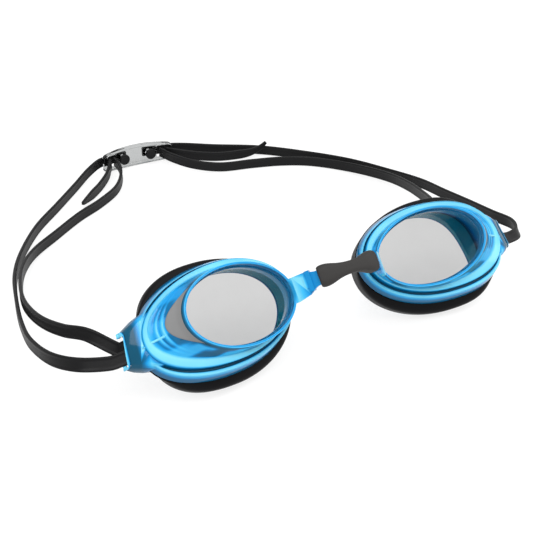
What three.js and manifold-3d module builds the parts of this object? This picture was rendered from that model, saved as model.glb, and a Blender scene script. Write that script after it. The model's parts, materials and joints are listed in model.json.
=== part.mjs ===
// Swim goggles lying on a table: two eyecups on a soft nose bridge, with a split
// head strap that runs back from each buckle to a clear rear clip.
//
// Units are millimetres, +Z up, +X towards the wearer's left. The goggles lean back
// on their gaskets, and the strap lies behind them in an open loop.
// The origin is the middle of the whole object's footprint, on the table.

import * as THREE from 'three';
import { mergeVertices } from 'three/addons/utils/BufferGeometryUtils.js';
import Module from 'manifold-3d';

const wasm = await Module();
wasm.setup();

// ---------------------------------------------------------------- driving sizes

const GAP = 0.3;                    // clearance between pieces that touch
const AROUND = 44;                  // facets around an eyecup

// How the eyecups sit.
const LEAN = THREE.MathUtils.degToRad(40.5);      // goggles tipped back on the table
const EYE_HALF_PITCH = 38.9;        // nose bridge centre to window centre
const TOE_IN = THREE.MathUtils.degToRad(-10);     // each window turned towards the nose
const CANT = THREE.MathUtils.degToRad(-1.7);      // each window's long axis, nose to temple

// Outlines in an eyecup's own plane: u runs to the temple, v up, depth away from the front.
// `full` below 1 squares the temple side, `tilt` turns the long axis, `shear` slants the oval.
const OVAL = { full: 1, tilt: 0, shear: 0 };
const WINDOW = { ...OVAL, u: 0, v: 0.4, nose: 21, temple: 21, half: 13, tilt: -0.03 };
const SHELF = { ...OVAL, u: 3, v: 0.35, nose: 26.8, temple: 29.5, half: 16.05, full: 0.95,
  tilt: 0.05 };
const FLANGE = { ...OVAL, u: 3, v: -0.8, nose: 29.2, temple: 29.7, half: 18.6, full: 0.87,
  tilt: 0.05 };
const CUSHION = { ...OVAL, u: 4.7, v: -1.6, nose: 31.2, temple: 25, half: 21.1, full: 0.77 };
const FACE_OPENING = { ...OVAL, u: 0.5, v: -1.7, nose: 25.4, temple: 20, half: 16.2,
  full: 0.75, shear: 0.18 };

const FLANGE_DEPTH = 5.6;           // flange front edge at the nose side
const TEMPLE_SWEEP = 6.5;           // how much deeper the flange lies at the temple
const FLANGE_SIDE = 4.2;            // height of the flange's side wall
const SHELF_STEP = 1.6;             // how far the shelf lies in front of the flange
const CUSHION_DEPTH = 17.6;         // gasket's rear rim
const GASKET_FLARE = 2;             // how much the gasket widens behind the flange
const LENS_THICKNESS = 1.6;
const LENS_RECESS = 0.5;            // front lens below the ring's front edge

// Side window, cut in the sloping wall between the ring and the temple.
const SIDE_WINDOW_FROM = THREE.MathUtils.degToRad(-40);
const SIDE_WINDOW_TO = THREE.MathUtils.degToRad(50);
const SIDE_WINDOW_WIDTH = 4.6;

// Buckle at the temple end.
const POST = { u: 34, depth: 17.4, radius: 1.1 };
const BUCKLE_TOP = 4.9;
const BUCKLE_BOTTOM = -7.1;
const BUCKLE_WALL = 1.2;

// Strap band.
const STRAP_WIDTH = 4.6;
const STRAP_THICKNESS = 1.4;
const OUTER_V = -2.9;               // height of the outer strand at the buckle
const START_GAP = 0.5;              // between the loop round the post and each strand
const INNER_V = 0.7;                // height of the inner strand at the buckle

// Nose tab and bridge, seen from above the goggles.
const TAB_THICKNESS = 1.5;
const TAB_ROOM = 0.6;               // room around the tab in its socket
const BRIDGE_END_X = 11.4;
const BRIDGE_END_Y = -2.6;
const BRIDGE_MID_Y = -5.9;
const SOCKET_DEPTH = 4.6;

// Rear clip.
const CLIP = { x: 6.4, y: 183.6, half: 18, bow: 3.4, height: 10.4, thickness: 2.4 };
const CLIP_MID_Z = CLIP.height / 2 + 0.1;
const BUTTON_OFFSET = 7;
const BUTTON_HEAD_RADIUS = 2.6;
const BUTTON_HEAD_HEIGHT = 1.5;
const CLIP_CURVE_UNDER_HEAD = 0.4;  // how far the clip's face curves away across a head
const BUTTON_NECK_RADIUS = 1.3;
const BUTTON_HOLE_RADIUS = 1.8;
const SLOT_OFFSET = 13.3;
const SLOT_SIZE = { width: 5.4, height: 6.4 };

// ---------------------------------------------------------------- materials

function plastic(color, roughness, opacity = 1) {
  return new THREE.MeshStandardMaterial({
    color, roughness, metalness: 0, transparent: opacity < 1, opacity,
  });
}

const MATERIALS = {
  frame: plastic(0x35aaf0, 0.15, 0.7),
  lens: plastic(0xc8c8c8, 0.08, 0.45),
  sideLens: plastic(0x969696, 0.08, 0.6),
  rubber: plastic(0x1a1a1b, 0.65),
  bridge: plastic(0x454341, 0.7),
  clip: plastic(0xdadcdc, 0.12, 0.5),
};

// ---------------------------------------------------------------- solids

// A solid through a list of loops with the same number of points. An open loft is
// closed with a fan at each end, and a closed one joins its last loop to its first.
function loft(loops, closed = false) {
  const count = loops[0].length;
  const positions = loops.flat().flatMap((p) => [p.x, p.y, p.z]);
  const index = [];
  const last = closed ? loops.length : loops.length - 1;
  for (let i = 0; i < last; i++) {
    const a = i * count;
    const b = ((i + 1) % loops.length) * count;
    for (let j = 0; j < count; j++) {
      const k = (j + 1) % count;
      index.push(a + j, a + k, b + k, a + j, b + k, b + j);
    }
  }
  if (!closed) {
    for (const [loop, flip] of [[0, true], [loops.length - 1, false]]) {
      const middle = positions.length / 3;
      const centre = new THREE.Vector3();
      loops[loop].forEach((p) => centre.addScaledVector(p, 1 / count));
      positions.push(centre.x, centre.y, centre.z);
      for (let j = 0; j < count; j++) {
        const a = loop * count + j;
        const b = loop * count + (j + 1) % count;
        index.push(...(flip ? [middle, b, a] : [middle, a, b]));
      }
    }
  }
  const geometry = new THREE.BufferGeometry();
  geometry.setAttribute('position', new THREE.Float32BufferAttribute(positions, 3));
  geometry.setIndex(index);
  return facingOut(geometry);
}

// Turns a closed geometry's faces outwards.
function facingOut(geometry) {
  const p = geometry.attributes.position;
  const index = Array.from(geometry.index.array);
  const [a, b, c] = [new THREE.Vector3(), new THREE.Vector3(), new THREE.Vector3()];
  let volume = 0;
  for (let i = 0; i < index.length; i += 3) {
    a.fromBufferAttribute(p, index[i]);
    b.fromBufferAttribute(p, index[i + 1]);
    c.fromBufferAttribute(p, index[i + 2]);
    volume += a.dot(b.cross(c));
  }
  if (volume < 0) {
    for (let i = 0; i < index.length; i += 3) {
      [index[i], index[i + 1]] = [index[i + 1], index[i]];
    }
    geometry.setIndex(index);
  }
  return geometry;
}

function solid(geometry) {
  const bare = geometry.clone();
  bare.deleteAttribute('normal');
  bare.deleteAttribute('uv');
  const merged = mergeVertices(bare, 1e-5);
  return new wasm.Manifold(new wasm.Mesh({
    numProp: 3,
    vertProperties: new Float32Array(merged.attributes.position.array),
    triVerts: new Uint32Array(merged.index.array),
  }));
}

function geometryOf(manifold) {
  const mesh = manifold.getMesh();
  const geometry = new THREE.BufferGeometry();
  geometry.setAttribute('position', new THREE.Float32BufferAttribute(mesh.vertProperties, 3));
  geometry.setIndex(Array.from(mesh.triVerts));
  return geometry;
}

function joined(...geometries) {
  return geometryOf(geometries.map(solid).reduce((a, b) => a.add(b)));
}

function cut(geometry, ...tools) {
  return geometryOf(tools.map(solid).reduce((a, b) => a.subtract(b), solid(geometry)));
}

function common(a, b) {
  return geometryOf(solid(a).intersect(solid(b)));
}

// The same shape on the other side of the nose.
function mirrored(geometry) {
  return facingOut(geometry.clone().scale(-1, 1, 1));
}

// A flat shape in the u-v plane, pushed from one depth to another.
function prismThrough(points, fromDepth, toDepth) {
  const levels = [fromDepth, toDepth];
  return loft(levels.map((d) => points.map((p) => new THREE.Vector3(p.x, p.y, -d))));
}

// A band of rectangular section with its corners taken off, along a list of points.
// `across` gives the direction of the band's width at each point.
function band(points, across, width, thickness) {
  const corner = thickness * 0.25;
  const w = width / 2;
  const t = thickness / 2;
  const section = [
    [w, t - corner], [w - corner, t], [corner - w, t], [-w, t - corner],
    [-w, corner - t], [corner - w, -t], [w - corner, -t], [w, corner - t],
  ];
  const loops = points.map((point, i) => {
    const before = points[Math.max(i - 1, 0)];
    const after = points[Math.min(i + 1, points.length - 1)];
    const along = after.clone().sub(before).normalize();
    const wide = across[i].clone().addScaledVector(along, -across[i].dot(along)).normalize();
    const thick = along.clone().cross(wide);
    return section.map(([a, b]) =>
      point.clone().addScaledVector(wide, a).addScaledVector(thick, b));
  });
  return loft(loops);
}

// ---------------------------------------------------------------- eyecup outlines

// Point of an oval outline at an angle, 0 at the temple and 180 degrees at the nose.
function onOutline(o, angle) {
  const c = Math.cos(angle);
  const s = Math.sin(angle);
  const power = c > 0 ? o.full : 1;
  const x = (c > 0 ? o.temple : o.nose) * Math.sign(c) * Math.abs(c) ** power;
  const y = o.half * Math.sign(s) * Math.abs(s) ** power;
  return new THREE.Vector2(o.u + x - o.shear * y, o.v + y - o.tilt * x);
}

function grown(o, by) {
  return { ...o, nose: o.nose + by, temple: o.temple + by, half: o.half + by };
}

function towards(a, b, share, angle) {
  return onOutline(a, angle).lerp(onOutline(b, angle), share);
}

function sweep(angle) {
  return TEMPLE_SWEEP * Math.max(0, Math.cos(angle)) ** 2;
}

function flangeDepth(angle) {
  return FLANGE_DEPTH + sweep(angle);
}

// Loops round the eyecup from stations of [outline a, outline b, share, depth].
function around(stations) {
  return stations.map(([a, b, share, depth]) =>
    Array.from({ length: AROUND }, (_, i) => {
      const angle = (i / AROUND) * 2 * Math.PI;
      const p = towards(a, b, share, angle);
      return new THREE.Vector3(p.x, p.y, -depth(angle));
    }));
}

// ---------------------------------------------------------------- eyecup pieces

// The translucent cup: window ring, sloping wall, groove and flange, all one skin.
function cupShell() {
  const shelf = (share) => (angle) => (flangeDepth(angle) - SHELF_STEP) * share;
  const flange = (extra) => (angle) => flangeDepth(angle) + extra;
  const flat = (depth) => () => depth;
  const behindLens = LENS_RECESS + LENS_THICKNESS;
  return loft(around([
    [WINDOW, SHELF, 0, flat(0)],
    [WINDOW, SHELF, 0.15, flat(0)],
    [WINDOW, SHELF, 0.2, flat(0.8)],
    [WINDOW, SHELF, 0.6, (a) => shelf(0.75)(a) + sweep(a) * 0.15],
    [WINDOW, SHELF, 0.8, shelf(1)],
    [WINDOW, SHELF, 1, shelf(1)],
    [SHELF, FLANGE, 0.15, flange(0.9)],
    [SHELF, FLANGE, 0.35, flange(0.9)],
    [SHELF, FLANGE, 0.5, flange(0)],
    [SHELF, FLANGE, 0.8, flange(0)],
    [SHELF, FLANGE, 1, flange(FLANGE_SIDE)],
    [SHELF, FLANGE, 0.4, flange(FLANGE_SIDE)],
    [SHELF, FLANGE, 0, flange(2.6)],
    [WINDOW, SHELF, 0.6, flange(0.4)],
    [WINDOW, SHELF, 0.1, flat(behindLens + 1.6)],
    [WINDOW, SHELF, -0.14, flat(behindLens + 1.6)],
    [WINDOW, SHELF, -0.14, flat(behindLens + GAP)],
    [WINDOW, SHELF, 0, flat(behindLens + GAP)],
  ]), true);
}

// Crescent beside the ring on the temple side, narrowed all round by `inset`.
function sideWindowPrism(inset) {
  const steps = 14;
  const ring = grown(WINDOW, 1.6);
  const inner = [];
  const outer = [];
  const trim = inset / 5;
  for (let i = 0; i <= steps; i++) {
    const share = THREE.MathUtils.lerp(trim, 1 - trim, i / steps);
    const angle = THREE.MathUtils.lerp(SIDE_WINDOW_FROM, SIDE_WINDOW_TO, share);
    const bulge = SIDE_WINDOW_WIDTH * Math.sin(Math.PI * share) ** 0.7 + 0.05;
    const from = onOutline(ring, angle);
    const out = from.clone().normalize();
    inner.push(from.clone().addScaledVector(out, inset));
    outer.push(from.clone().addScaledVector(out, bulge - inset));
  }
  return prismThrough([...inner, ...outer.reverse()], -1, 11);
}

// Cover, top and bottom of the buckle, open to the rear and to the temple.
function buckleHousing() {
  const outer = (u, top, bottom, front, rear) => [
    new THREE.Vector3(u, top, -front - 1),
    new THREE.Vector3(u, top - 1, -front),
    new THREE.Vector3(u, bottom + 1, -front),
    new THREE.Vector3(u, bottom, -front - 1),
    new THREE.Vector3(u, bottom, -rear),
    new THREE.Vector3(u, top, -rear),
  ];
  const body = loft([
    outer(25.5, 8.4, -10.6, 9.6, 15.4),
    outer(30.5, 7, -9.2, 11.1, 18.8),
    outer(34, 5.9, -8.1, 12.6, 19.4),
    outer(37.4, BUCKLE_TOP, BUCKLE_BOTTOM, 14.2, 19.4),
  ]);
  const cavity = [[30.3, 12.6], [34, 13.9], [38.4, 15.8], [50, 20], [50, 40], [30.3, 40]];
  const levels = [BUCKLE_BOTTOM + BUCKLE_WALL, BUCKLE_TOP - BUCKLE_WALL];
  const room = loft(levels.map((v) => cavity.map(([u, d]) => new THREE.Vector3(u, v, -d))));
  return { body, room };
}

function bucklePost() {
  const post = new THREE.CylinderGeometry(POST.radius, POST.radius, 11.4, 16);
  return post.translate(POST.u, (BUCKLE_TOP + BUCKLE_BOTTOM) / 2, -POST.depth);
}

// Room behind the flange for the eye, so that the buckle doesn't fill the cup.
function eyeRoom() {
  const behind = (depth) => () => depth;
  const loops = around([
    [WINDOW, SHELF, 0.86, behind(6)],
    [WINDOW, SHELF, 0.9, behind(30)],
  ]);
  return loft(loops);
}

// Room for the gasket behind the flange, a little larger than the gasket.
function gasketRoom() {
  const room = grown(CUSHION, 0.3);
  return loft(around([
    [room, room, 0, (angle) => flangeDepth(angle) + FLANGE_SIDE],
    [room, room, 0, () => 40],
  ]));
}

// The plate that plugs into the bridge, with a catch across it, in goggle axes.
function noseTab() {
  const path = [
    [19.2, 5.2, 4.2, -4.4], [17.4, 3.1, 4.2, -4.4], [14, 0.1, 4.3, -3.4],
    [12, -1.7, 3.6, -1.8], [BRIDGE_END_X, -2.3, 3.4, -1.6], [7.6, -4.4, 3.3, -1.5],
  ];
  const plate = loft(path.map((row) => tabSection(...row, TAB_THICKNESS)));
  const stop = loft([[13.9, 0], [12.6, -1.15]].map(([x, y]) => tabSection(x, y, 4.4, -2.6, 2.9)));
  return joined(plate, stop);
}

// A rectangle across the tab's slanting path.
function tabSection(x, y, top, bottom, thickness) {
  const slope = Math.atan2(0.8, 1);
  const dx = Math.sin(slope) * thickness / 2;
  const dy = Math.cos(slope) * thickness / 2;
  return [
    new THREE.Vector3(x - dx, y + dy, top),
    new THREE.Vector3(x + dx, y - dy, top),
    new THREE.Vector3(x + dx, y - dy, bottom),
    new THREE.Vector3(x - dx, y + dy, bottom),
  ];
}

function eyecupFrame() {
  const { body, room } = buckleHousing();
  const housing = cut(body, eyeRoom(), gasketRoom());
  const cup = joined(cut(joined(cupShell(), housing), sideWindowPrism(0), room), bucklePost());
  const tab = noseTab().applyMatrix4(EYECUP_PLACE.clone().invert());
  const lensRoom = loft(around([
    [WINDOW, WINDOW, 0, () => -1],
    [WINDOW, WINDOW, 0, () => LENS_RECESS + LENS_THICKNESS],
  ]));
  return joined(cup, cut(tab, lensRoom));
}

function frontLens() {
  const edge = grown(WINDOW, -GAP);
  return loft(around([
    [edge, edge, 0, () => LENS_RECESS],
    [edge, edge, 0, () => LENS_RECESS + LENS_THICKNESS],
  ]));
}

function sideLens() {
  return common(cupShell(), sideWindowPrism(GAP));
}

// The soft seal: it flares from the flange and rolls in to the opening for the eye.
function gasket() {
  const front = (extra) => (angle) => flangeDepth(angle) + FLANGE_SIDE + GAP + extra;
  const rear = (extra) => (angle) => CUSHION_DEPTH + extra + sweep(angle) * 0.45;
  const lip = grown(CUSHION, -GASKET_FLARE);
  return loft(around([
    [lip, CUSHION, 0, front(0)],
    [lip, CUSHION, 0.75, front(0.7)],
    [lip, CUSHION, 1, (a) => Math.min(front(2)(a), rear(-3)(a))],
    [CUSHION, FACE_OPENING, 0.05, rear(-1.4)],
    [CUSHION, FACE_OPENING, 0.2, rear(-0.2)],
    [CUSHION, FACE_OPENING, 0.72, rear(0)],
    [CUSHION, FACE_OPENING, 1, rear(-0.6)],
    [CUSHION, FACE_OPENING, 0.92, rear(-2.2)],
    [CUSHION, FACE_OPENING, 0.5, front(1.6)],
    [lip, FACE_OPENING, 0.45, front(0)],
  ]), true);
}

// The stretch of strap that turns round the buckle post, lower outer strand first.
function strapLoopPath() {
  const radius = POST.radius + GAP + STRAP_THICKNESS / 2;
  const outerWay = THREE.MathUtils.degToRad(-58);
  const innerWay = THREE.MathUtils.degToRad(-197);
  const lead = 3.4;
  const steps = 14;
  const points = [];
  const put = (angle, v, ahead) => {
    const along = ahead * lead;
    const u = POST.u + radius * Math.cos(angle) - along * Math.sin(angle);
    const depth = POST.depth + radius * Math.sin(angle) + along * Math.cos(angle);
    points.push(new THREE.Vector3(u, v, -depth));
  };
  put(outerWay, OUTER_V, 1);
  put(outerWay, OUTER_V, 0.5);
  for (let i = 0; i <= steps; i++) {
    const share = i / steps;
    const angle = THREE.MathUtils.lerp(outerWay, innerWay, share);
    put(angle, THREE.MathUtils.lerp(OUTER_V, INNER_V, THREE.MathUtils.smoothstep(share, 0, 1)), 0);
  }
  put(innerWay, INNER_V, -0.5);
  put(innerWay, INNER_V, -1);
  return points;
}

function strapLoop() {
  const points = strapLoopPath();
  return band(points, points.map(() => new THREE.Vector3(0, 1, 0)), STRAP_WIDTH, STRAP_THICKNESS);
}

// ---------------------------------------------------------------- nose bridge

function bridgeSection(x, height, thickness) {
  const y = THREE.MathUtils.lerp(BRIDGE_MID_Y, BRIDGE_END_Y, (x / BRIDGE_END_X) ** 2);
  const slope = Math.atan(2 * (BRIDGE_END_Y - BRIDGE_MID_Y) * x / BRIDGE_END_X ** 2);
  const normal = new THREE.Vector3(-Math.sin(slope), Math.cos(slope), 0);
  const sides = 16;
  return Array.from({ length: sides }, (_, i) => {
    const angle = (i / sides) * 2 * Math.PI;
    const c = Math.cos(angle);
    const s = Math.sin(angle);
    const across = Math.sign(c) * Math.abs(c) ** 0.6 * thickness / 2;
    const up = Math.sign(s) * Math.abs(s) ** 0.6 * height / 2;
    return new THREE.Vector3(x, y, 0.95 + up).addScaledVector(normal, across);
  });
}

function noseBridge() {
  const half = [
    [BRIDGE_END_X, 8, 5.2], [9.6, 7.8, 5.2], [7, 6.8, 4.9], [4.6, 5.4, 4], [2.2, 4.6, 3.4],
  ];
  const stations = [...half, [0, 4.4, 3.2], ...half.map(([x, h, t]) => [-x, h, t]).reverse()];
  const body = loft(stations.map(([x, h, t]) => bridgeSection(x, h, t)));
  const thickness = TAB_THICKNESS + 2 * TAB_ROOM;
  const socket = loft([
    tabSection(BRIDGE_END_X + 3, 0.2, 3.4 + TAB_ROOM, -1.6 - TAB_ROOM, thickness),
    tabSection(BRIDGE_END_X, -2.3, 3.4 + TAB_ROOM, -1.6 - TAB_ROOM, thickness),
    tabSection(BRIDGE_END_X - SOCKET_DEPTH, -4.8, 3.3 + TAB_ROOM, -1.5 - TAB_ROOM, thickness),
  ]);
  return cut(body, socket, mirrored(socket));
}

// ---------------------------------------------------------------- rear clip

// Point at an offset along the clip's curve, on its middle line.
function onClip(offset, behind = 0) {
  const y = CLIP.y - CLIP.bow * (offset / CLIP.half) ** 2;
  return new THREE.Vector3(CLIP.x + offset, y + behind, CLIP_MID_Z);
}

function pegThroughClip(offset, radius, from, to) {
  const middle = onClip(offset);
  const peg = new THREE.CylinderGeometry(radius, radius, to - from, 20);
  return peg.translate(0, (from + to) / 2, 0).translate(middle.x, middle.y, middle.z);
}

function rearClip() {
  const steps = 18;
  const points = Array.from({ length: steps + 1 }, (_, i) =>
    onClip(CLIP.half * (2 * i / steps - 1)));
  const up = points.map(() => new THREE.Vector3(0, 0, 1));
  const plate = band(points, up, CLIP.height, CLIP.thickness);
  const tools = [];
  for (const side of [-1, 1]) {
    tools.push(pegThroughClip(side * BUTTON_OFFSET, BUTTON_HOLE_RADIUS, -5, 5));
    const slot = new THREE.BoxGeometry(SLOT_SIZE.width, 12, SLOT_SIZE.height);
    const at = onClip(side * SLOT_OFFSET);
    tools.push(slot.translate(at.x, at.y, at.z));
  }
  return cut(plate, ...tools);
}

// The knob on a strap's end: a neck through the clip and a head in front of it.
function endButton(offset) {
  const face = -CLIP.thickness / 2 - GAP - CLIP_CURVE_UNDER_HEAD;
  const back = CLIP.thickness / 2 + GAP + STRAP_THICKNESS / 2;
  const head = pegThroughClip(offset, BUTTON_HEAD_RADIUS, face - BUTTON_HEAD_HEIGHT, face);
  const neck = pegThroughClip(offset, BUTTON_NECK_RADIUS, face - 0.5, back);
  return joined(head, neck);
}

// ---------------------------------------------------------------- strap strands

// Routes on the table, from the buckle to the clip, with each strand's middle line.
// The last entry of each route lies at the clip.
const ROUTES = {
  right: {
    outer: [
      [-91, 10, 17], [-96.5, 19, 15.6], [-98.5, 34, 13.6], [-96.5, 50, 11.4], [-91, 73, 8.4],
      [-85, 93, 5.8], [-76, 113, 3.6], [-61, 136, 2.5], [-46, 152, 2.5], [-31, 168, 2.6],
      [-20, 178, 4.2], [-12.4, 182.9, 5.2],
    ],
    inner: [
      [-84, 22, 19.2], [-88.5, 31, 17.4], [-91.5, 43, 15.2], [-91.5, 60, 12.4], [-87.5, 78, 9.4],
      [-80, 98, 6], [-70, 114, 3.4], [-56, 126.5, 2.5], [-41, 138, 2.5], [-28, 146, 2.5],
      [-16.5, 154.5, 3.2], [-10.6, 162.5, 4.2], [-6.8, 172, 5.1], [-5.6, 180.9, 5.3],
    ],
    tail: [
      [-8.3, 179.6, 5.3], [-10.8, 175.2, 4.9], [-14, 170.5, 3.6], [-20.5, 163.5, 2.5],
      [-28, 156, 2.5], [-35, 149.6, 2.5],
    ],
  },
  left: {
    outer: [
      [89, 8.5, 16.2], [95, 17, 14.9], [96.5, 30, 13.1], [98.5, 47, 10.9], [100, 64, 8.8],
      [102, 82, 6.5], [100.5, 103, 3.9], [93.5, 127, 2.5], [80, 146.5, 2.5], [65, 163.5, 2.5],
      [45, 175, 3.4], [31.5, 181.2, 4.8], [25.4, 183.4, 5.2],
    ],
    inner: [
      [76, 28, 18.4], [79, 44, 15.4], [85.5, 60, 12.2], [91.5, 78, 9], [94.5, 97, 5.8],
      [90, 122, 2.7], [78, 138, 2.5], [66, 145.5, 2.5], [53, 150, 2.5], [37, 154, 2.8],
      [26.5, 161, 4], [20.8, 170, 5], [18.3, 180.6, 5.3],
    ],
    tail: [
      [21.1, 179.6, 5.3], [24.8, 175.8, 4.9], [33, 170.8, 3.6], [43, 166.6, 2.5],
      [52, 163.6, 2.6], [58.5, 161.4, 3.4], [63, 159.8, 5.4], [66, 158.8, 8],
    ],
  },
};

function smoothPath(points, steps) {
  const curve = new THREE.CatmullRomCurve3(points, false, 'centripetal');
  return curve.getSpacedPoints(steps);
}

// The band's width starts along the buckle post and turns upright on the way.
function turning(points, first, upright = 0.3) {
  const up = new THREE.Vector3(0, 0, 1);
  return points.map((_, i) => {
    const share = THREE.MathUtils.smoothstep(i / (points.length - 1), 0, upright);
    return first.clone().lerp(up, share).normalize();
  });
}

// A strand's band from the loop round the post along its route.
function strand(start, route) {
  const points = [...start, ...route];
  const beyond = (p) => p.distanceTo(start[0]) > start[0].distanceTo(start.at(-1));
  const path = [...start, ...smoothPath(points, 40).filter(beyond)];
  return band(path, turning(path, POST_UP), STRAP_WIDTH, STRAP_THICKNESS);
}

// The outer strand goes on behind the clip, to the button on its end.
function outerStrand(start, route, side) {
  const behind = CLIP.thickness / 2 + GAP + STRAP_THICKNESS / 2;
  const offsets = [SLOT_OFFSET + 1, BUTTON_OFFSET, BUTTON_OFFSET - BUTTON_HEAD_RADIUS];
  const behindClip = offsets.map((offset) => onClip(side * offset, behind));
  return joined(strand(start, [...route, ...behindClip]), endButton(side * BUTTON_OFFSET));
}

function tail(route) {
  const path = smoothPath(route, 16);
  const up = path.map(() => new THREE.Vector3(0, 0, 1));
  return band(path, up, STRAP_WIDTH, STRAP_THICKNESS);
}

// ---------------------------------------------------------------- places

// Eyecup axes to goggle axes, for the wearer's left side.
const EYECUP_PLACE = new THREE.Matrix4().makeBasis(
  new THREE.Vector3(Math.cos(TOE_IN), Math.sin(TOE_IN), 0),
  new THREE.Vector3(0, 0, 1),
  new THREE.Vector3(Math.sin(TOE_IN), -Math.cos(TOE_IN), 0),
).setPosition(EYE_HALF_PITCH, 0, 0).multiply(new THREE.Matrix4().makeRotationZ(CANT));

// Goggle axes to table axes, before the goggles are set down.
const LEAN_BACK = new THREE.Matrix4().makeRotationX(-LEAN);

const cushionBox = new THREE.Box3().setFromBufferAttribute(
  gasket().applyMatrix4(EYECUP_PLACE).applyMatrix4(LEAN_BACK).attributes.position);
const SET_DOWN = new THREE.Matrix4().makeTranslation(0, 0, -cushionBox.min.z);
const GOGGLE_PLACE = SET_DOWN.multiply(LEAN_BACK);
const POST_UP = new THREE.Vector3(0, 1, 0).transformDirection(EYECUP_PLACE)
  .transformDirection(LEAN_BACK);

// ---------------------------------------------------------------- assembly

const goggles = new THREE.Group();
const onTable = new THREE.Group();
goggles.add(onTable);

function add(name, geometry, material, turn = false) {
  const placed = geometry.clone();
  if (turn) {
    placed.applyMatrix4(GOGGLE_PLACE);
  }
  placed.computeVertexNormals();
  const mesh = new THREE.Mesh(placed, material);
  mesh.name = name;
  onTable.add(mesh);
}

// Where a strand takes over from the loop round the post, and a point further out.
function loopEnd(side, which) {
  const path = strapLoopPath();
  const [end, before] = which === 'inner' ? [path.at(-1), path.at(-2)] : [path[0], path[1]];
  const way = end.clone().sub(before).normalize();
  return [START_GAP, 1.6, 3.2].map((ahead) => {
    const p = end.clone().addScaledVector(way, ahead).applyMatrix4(EYECUP_PLACE);
    return p.setX(p.x * side).applyMatrix4(GOGGLE_PLACE);
  });
}

function addEyecup(name, side) {
  const pieces = {
    frame: [eyecupFrame(), MATERIALS.frame],
    front_lens: [frontLens(), MATERIALS.lens],
    side_lens: [sideLens(), MATERIALS.sideLens],
    gasket: [gasket(), MATERIALS.rubber],
    strap_loop: [strapLoop(), MATERIALS.rubber],
  };
  for (const [piece, [geometry, material]] of Object.entries(pieces)) {
    const placed = geometry.clone().applyMatrix4(EYECUP_PLACE);
    add(`${name}_${piece}`, side > 0 ? placed : mirrored(placed), material, true);
  }
}

function addStrap(name, side) {
  const points = (route) => route.map((p) => new THREE.Vector3(...p));
  const { outer, inner, tail: end } = ROUTES[name];
  add(`${name}_outer_strand`, outerStrand(loopEnd(side, 'outer'), points(outer), side),
    MATERIALS.rubber);
  add(`${name}_inner_strand`, strand(loopEnd(side, 'inner'), points(inner)), MATERIALS.rubber);
  add(`${name}_strap_tail`, tail(points(end)), MATERIALS.rubber);
}

for (const [name, side] of [['right', -1], ['left', 1]]) {
  addEyecup(name, side);
  addStrap(name, side);
}
add('nose_bridge', noseBridge(), MATERIALS.bridge, true);
add('rear_clip', rearClip(), MATERIALS.clip);

const footprint = new THREE.Box3().setFromObject(onTable);
const middle = footprint.getCenter(new THREE.Vector3());
onTable.position.set(-middle.x, -middle.y, -footprint.min.z);

export default goggles;
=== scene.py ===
"""Swim goggles on a pale table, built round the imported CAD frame.

Lengths in the constants are millimetres; MM turns them into the scene's metres.
An eyecup is drawn in its own axes, u to the temple, v up and depth away from the front,
on the wearer's left side, and is mirrored for the right one.
"""

import json
import math

import bmesh
import bpy
import numpy as np
from mathutils import Matrix, Vector
from mathutils.kdtree import KDTree


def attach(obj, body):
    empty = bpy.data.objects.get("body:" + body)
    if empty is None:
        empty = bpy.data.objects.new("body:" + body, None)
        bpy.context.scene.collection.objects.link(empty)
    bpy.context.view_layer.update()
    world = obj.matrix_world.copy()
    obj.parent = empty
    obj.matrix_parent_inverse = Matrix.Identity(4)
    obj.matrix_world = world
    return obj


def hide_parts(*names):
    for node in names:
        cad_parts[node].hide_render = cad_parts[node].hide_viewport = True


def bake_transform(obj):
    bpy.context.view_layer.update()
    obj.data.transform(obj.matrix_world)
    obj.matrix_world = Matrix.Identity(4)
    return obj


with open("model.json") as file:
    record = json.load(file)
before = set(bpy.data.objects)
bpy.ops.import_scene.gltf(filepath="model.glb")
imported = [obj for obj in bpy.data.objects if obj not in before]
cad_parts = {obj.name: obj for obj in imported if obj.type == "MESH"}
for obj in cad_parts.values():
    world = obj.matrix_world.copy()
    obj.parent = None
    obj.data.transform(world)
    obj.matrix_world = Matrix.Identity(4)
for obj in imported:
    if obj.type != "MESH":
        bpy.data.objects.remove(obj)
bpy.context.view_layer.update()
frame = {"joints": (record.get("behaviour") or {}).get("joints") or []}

MM = 0.001
SIDES = {"left": 1, "right": -1}
ROOT = "bridge_and_strap"

# ------------------------------------------------------------------ placing

LEAN = math.radians(40.5)           # the goggles tipped back on the table
TOE_IN = math.radians(-10)          # each window turned towards the nose
CANT = math.radians(-1.7)           # each window's long axis, nose to temple
EYE_HALF_PITCH = 38.9               # nose bridge centre to window centre
HINGE_IN_GOGGLES = Vector((0, -3.4, 0.95))      # halfway between the two hinges


def goggle_place():
    """Goggle axes (origin between the windows, millimetres) to the row frame in metres."""
    lean = Matrix.Rotation(-LEAN, 4, "X")
    hinges = [Vector(j["pos_m"]) for j in frame["joints"] if j["type"] == "hinge"]
    origin = (hinges[0] + hinges[1]) / 2 - (lean @ HINGE_IN_GOGGLES) * MM
    return Matrix.Translation(origin) @ lean @ Matrix.Scale(MM, 4)


def eyecup_place():
    """Eyecup axes (u, v, forward) to goggle axes, on the wearer's left."""
    c, s = math.cos(TOE_IN), math.sin(TOE_IN)
    turn = Matrix(((c, 0, s, EYE_HALF_PITCH), (s, 0, -c, 0), (0, 1, 0, 0), (0, 0, 0, 1)))
    return turn @ Matrix.Rotation(CANT, 4, "Z")


def table_place():
    """Table millimetres, from the point below the goggles' origin, to metres."""
    middle = GOGGLES.translation
    return Matrix.Translation((middle.x, middle.y, 0)) @ Matrix.Scale(MM, 4)


GOGGLES = goggle_place()
EYECUP = eyecup_place()
TABLE = table_place()
MIRROR = Matrix.Diagonal((-1, 1, 1, 1))


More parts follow.
